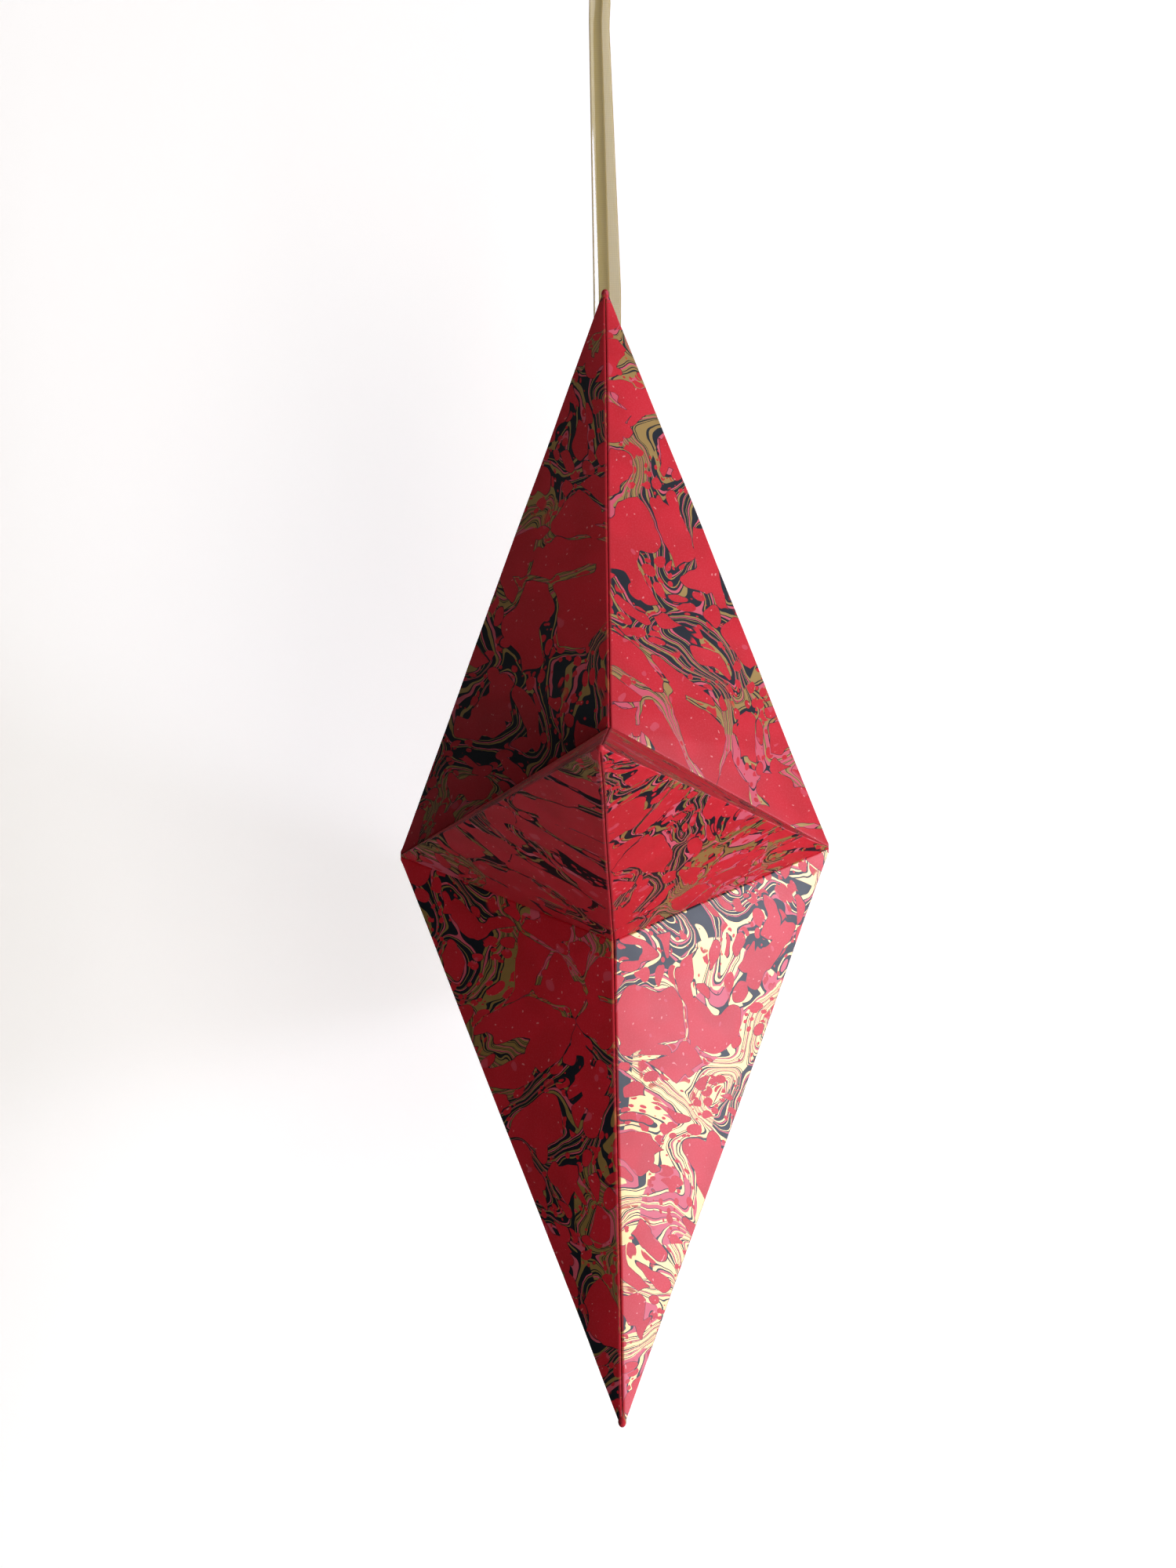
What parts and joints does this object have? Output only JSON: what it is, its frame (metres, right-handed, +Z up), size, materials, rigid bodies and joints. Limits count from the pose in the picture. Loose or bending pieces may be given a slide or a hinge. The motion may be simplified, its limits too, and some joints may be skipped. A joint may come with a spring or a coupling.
{
  "type": "star ornament",
  "caption": "Hollow pointed star of folded boards wrapped in marbled paper, hung from a sheer ribbon loop that twists above it and lets it swing.",
  "frame": {"origin": "inner top of the ribbon loop, where a hook or pin carries the ornament", "axes": "+Z up; the star's four arms point up, down, to the front (-Y) and to the back (+Y), and its two low peaks point left (-X) and right (+X)"},
  "size_m": [0.073, 0.1967, 0.2566],
  "materials": {
    "marbled_paper": "burnished hand-marbled paper in crimson, black and metallic gold, semi-gloss",
    "grey_board": "plain grey board, scored and folded",
    "kraft_strip": "plain brown paper, glued",
    "sheer_ribbon": "sheer gold organza with woven edges"
  },
  "bodies": {
    "hanger": {"ribbon_bend": "sheer_ribbon"},
    "ribbon": {"ribbon_strand_left": "sheer_ribbon", "ribbon_strand_right": "sheer_ribbon"},
    "star": {"ribbon_knot": "sheer_ribbon", "cover_top_left": "marbled_paper", "cover_top_right": "marbled_paper", "cover_front_left": "marbled_paper", "cover_front_right": "marbled_paper", "cover_bottom_left": "marbled_paper", "cover_bottom_right": "marbled_paper", "cover_back_left": "marbled_paper", "cover_back_right": "marbled_paper", "board_top_left": "grey_board", "board_top_right": "grey_board", "board_front_left": "grey_board", "board_front_right": "grey_board", "board_bottom_left": "grey_board", "board_bottom_right": "grey_board", "board_back_left": "grey_board", "board_back_right": "grey_board", "seam_strip_top_by_front": "kraft_strip", "seam_strip_top_by_back": "kraft_strip", "seam_strip_front_by_bottom": "kraft_strip", "seam_strip_front_by_top": "kraft_strip", "seam_strip_bottom_by_back": "kraft_strip", "seam_strip_bottom_by_front": "kraft_strip", "seam_strip_back_by_top": "kraft_strip", "seam_strip_back_by_bottom": "kraft_strip", "valley_strip_top_front_left": "kraft_strip", "valley_strip_top_front_right": "kraft_strip", "valley_strip_front_bottom_left": "kraft_strip", "valley_strip_front_bottom_right": "kraft_strip", "valley_strip_bottom_back_left": "kraft_strip", "valley_strip_bottom_back_right": "kraft_strip", "valley_strip_back_top_left": "kraft_strip", "valley_strip_back_top_right": "kraft_strip"}
  },
  "joints": [
    {"name": "ribbon_twist", "type": "hinge", "parent": "hanger", "child": "ribbon", "pos_m": [0, 0, -0.0058], "axis": [0, 0, 1], "range_deg": [-180, 180]},
    {"name": "star_swing", "type": "hinge", "parent": "ribbon", "child": "star", "pos_m": [0, 0, -0.07983], "axis": [1, 0, 0], "range_deg": [-10, 80]}
  ]
}
